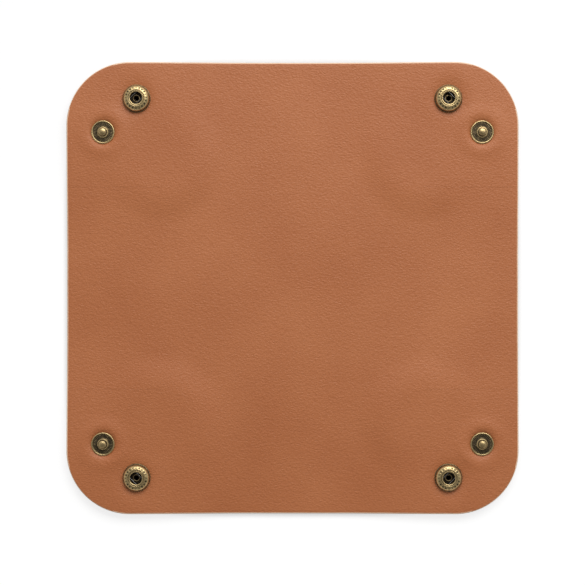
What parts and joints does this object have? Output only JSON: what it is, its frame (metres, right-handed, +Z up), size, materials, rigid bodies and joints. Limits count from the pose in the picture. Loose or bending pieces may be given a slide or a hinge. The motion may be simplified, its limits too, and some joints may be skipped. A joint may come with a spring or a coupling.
{
  "type": "valet tray",
  "caption": "Square tan leather valet tray that lies flat as a sheet with rounded corners, or snaps up into a tray at its corners.",
  "frame": {"origin": "middle of the sheet, on the surface that the four caps rest on", "axes": "+Z up out of the leather's face, +Y to the back edge at the top of the picture, +X to the right edge"},
  "size_m": [0.21, 0.21, 0.0075],
  "materials": {
    "face_leather": "pebbled, low sheen",
    "backing_leather": "napped, matt",
    "antique_brass": "antiqued, rubbed bright on the high places",
    "spring_steel": "drawn wire"
  },
  "bodies": {
    "base": {"base_face": "face_leather", "base_backing": "backing_leather"},
    "back_wall": {"back_wall_face": "face_leather", "back_wall_backing": "backing_leather"},
    "front_wall": {"front_wall_face": "face_leather", "front_wall_backing": "backing_leather"},
    "left_wall": {"left_wall_face": "face_leather", "left_wall_backing": "backing_leather"},
    "right_wall": {"right_wall_face": "face_leather", "right_wall_backing": "backing_leather"},
    "back_right_socket_flap": {"back_right_socket_flap_face": "face_leather", "back_right_socket_flap_backing": "backing_leather", "back_right_socket": "antique_brass", "back_right_spring": "spring_steel", "back_right_cap": "antique_brass"},
    "back_right_stud_flap": {"back_right_stud_flap_face": "face_leather", "back_right_stud_flap_backing": "backing_leather", "back_right_stud": "antique_brass", "back_right_post": "antique_brass"},
    "back_right_end_strip": {"back_right_end_strip_face": "face_leather", "back_right_end_strip_backing": "backing_leather"},
    "back_left_socket_flap": {"back_left_socket_flap_face": "face_leather", "back_left_socket_flap_backing": "backing_leather", "back_left_socket": "antique_brass", "back_left_spring": "spring_steel", "back_left_cap": "antique_brass"},
    "back_left_stud_flap": {"back_left_stud_flap_face": "face_leather", "back_left_stud_flap_backing": "backing_leather", "back_left_stud": "antique_brass", "back_left_post": "antique_brass"},
    "back_left_end_strip": {"back_left_end_strip_face": "face_leather", "back_left_end_strip_backing": "backing_leather"},
    "front_left_socket_flap": {"front_left_socket_flap_face": "face_leather", "front_left_socket_flap_backing": "backing_leather", "front_left_socket": "antique_brass", "front_left_spring": "spring_steel", "front_left_cap": "antique_brass"},
    "front_left_stud_flap": {"front_left_stud_flap_face": "face_leather", "front_left_stud_flap_backing": "backing_leather", "front_left_stud": "antique_brass", "front_left_post": "antique_brass"},
    "front_left_end_strip": {"front_left_end_strip_face": "face_leather", "front_left_end_strip_backing": "backing_leather"},
    "front_right_socket_flap": {"front_right_socket_flap_face": "face_leather", "front_right_socket_flap_backing": "backing_leather", "front_right_socket": "antique_brass", "front_right_spring": "spring_steel", "front_right_cap": "antique_brass"},
    "front_right_stud_flap": {"front_right_stud_flap_face": "face_leather", "front_right_stud_flap_backing": "backing_leather", "front_right_stud": "antique_brass", "front_right_post": "antique_brass"},
    "front_right_end_strip": {"front_right_end_strip_face": "face_leather", "front_right_end_strip_backing": "backing_leather"}
  },
  "joints": [
    {"name": "back_wall_fold", "type": "hinge", "parent": "base", "child": "back_wall", "pos_m": [0, 0.061, 0.0042], "axis": [1, 0, 0], "range_deg": [0, 80]},
    {"name": "front_wall_fold", "type": "hinge", "parent": "base", "child": "front_wall", "pos_m": [0, -0.061, 0.0042], "axis": [-1, 0, 0], "range_deg": [0, 80]},
    {"name": "left_wall_fold", "type": "hinge", "parent": "base", "child": "left_wall", "pos_m": [-0.061, 0, 0.0042], "axis": [0, 1, 0], "range_deg": [0, 80]},
    {"name": "right_wall_fold", "type": "hinge", "parent": "base", "child": "right_wall", "pos_m": [0.061, 0, 0.0042], "axis": [0, -1, 0], "range_deg": [0, 80]},
    {"name": "back_right_socket_crease", "type": "hinge", "parent": "back_wall", "child": "back_right_socket_flap", "pos_m": [0.05694, 0.061, 0.002], "axis": [0.1711, 0.9853, 0], "range_deg": [0, 45.87]},
    {"name": "back_right_corner_fold", "type": "hinge", "parent": "back_right_socket_flap", "child": "back_right_stud_flap", "pos_m": [0.061, 0.061, 0.0064], "axis": [-0.7071, -0.7071, 0], "range_deg": [0, 179.9]},
    {"name": "back_right_stud_crease", "type": "hinge", "parent": "back_right_stud_flap", "child": "back_right_end_strip", "pos_m": [0.061, 0.05694, 0.002], "axis": [0.9853, 0.1711, 0], "range_deg": [0, 45.87]},
    {"name": "back_left_socket_crease", "type": "hinge", "parent": "back_wall", "child": "back_left_socket_flap", "pos_m": [-0.05694, 0.061, 0.002], "axis": [0.1711, -0.9853, 0], "range_deg": [0, 45.87]},
    {"name": "back_left_corner_fold", "type": "hinge", "parent": "back_left_socket_flap", "child": "back_left_stud_flap", "pos_m": [-0.061, 0.061, 0.0064], "axis": [-0.7071, 0.7071, 0], "range_deg": [0, 179.9]},
    {"name": "back_left_stud_crease", "type": "hinge", "parent": "back_left_stud_flap", "child": "back_left_end_strip", "pos_m": [-0.061, 0.05694, 0.002], "axis": [0.9853, -0.1711, 0], "range_deg": [0, 45.87]},
    {"name": "front_left_socket_crease", "type": "hinge", "parent": "front_wall", "child": "front_left_socket_flap", "pos_m": [-0.05694, -0.061, 0.002], "axis": [-0.1711, -0.9853, 0], "range_deg": [0, 45.87]},
    {"name": "front_left_corner_fold", "type": "hinge", "parent": "front_left_socket_flap", "child": "front_left_stud_flap", "pos_m": [-0.061, -0.061, 0.0064], "axis": [0.7071, 0.7071, 0], "range_deg": [0, 179.9]},
    {"name": "front_left_stud_crease", "type": "hinge", "parent": "front_left_stud_flap", "child": "front_left_end_strip", "pos_m": [-0.061, -0.05694, 0.002], "axis": [-0.9853, -0.1711, 0], "range_deg": [0, 45.87]},
    {"name": "front_right_socket_crease", "type": "hinge", "parent": "front_wall", "child": "front_right_socket_flap", "pos_m": [0.05694, -0.061, 0.002], "axis": [-0.1711, 0.9853, 0], "range_deg": [0, 45.87]},
    {"name": "front_right_corner_fold", "type": "hinge", "parent": "front_right_socket_flap", "child": "front_right_stud_flap", "pos_m": [0.061, -0.061, 0.0064], "axis": [0.7071, -0.7071, 0], "range_deg": [0, 179.9]},
    {"name": "front_right_stud_crease", "type": "hinge", "parent": "front_right_stud_flap", "child": "front_right_end_strip", "pos_m": [0.061, -0.05694, 0.002], "axis": [-0.9853, 0.1711, 0], "range_deg": [0, 45.87]}
  ],
  "couplings": [
    {"joint": "front_wall_fold", "follows": "back_wall_fold", "ratio": 1},
    {"joint": "left_wall_fold", "follows": "back_wall_fold", "ratio": 1},
    {"joint": "right_wall_fold", "follows": "back_wall_fold", "ratio": 1},
    {"joint": "back_right_socket_crease", "follows": "back_wall_fold", "ratio": 0.5733},
    {"joint": "back_right_corner_fold", "follows": "back_wall_fold", "ratio": 2.2487},
    {"joint": "back_right_stud_crease", "follows": "back_wall_fold", "ratio": 0.5733},
    {"joint": "back_left_socket_crease", "follows": "back_wall_fold", "ratio": 0.5733},
    {"joint": "back_left_corner_fold", "follows": "back_wall_fold", "ratio": 2.2487},
    {"joint": "back_left_stud_crease", "follows": "back_wall_fold", "ratio": 0.5733},
    {"joint": "front_left_socket_crease", "follows": "back_wall_fold", "ratio": 0.5733},
    {"joint": "front_left_corner_fold", "follows": "back_wall_fold", "ratio": 2.2487},
    {"joint": "front_left_stud_crease", "follows": "back_wall_fold", "ratio": 0.5733},
    {"joint": "front_right_socket_crease", "follows": "back_wall_fold", "ratio": 0.5733},
    {"joint": "front_right_corner_fold", "follows": "back_wall_fold", "ratio": 2.2487},
    {"joint": "front_right_stud_crease", "follows": "back_wall_fold", "ratio": 0.5733}
  ]
}
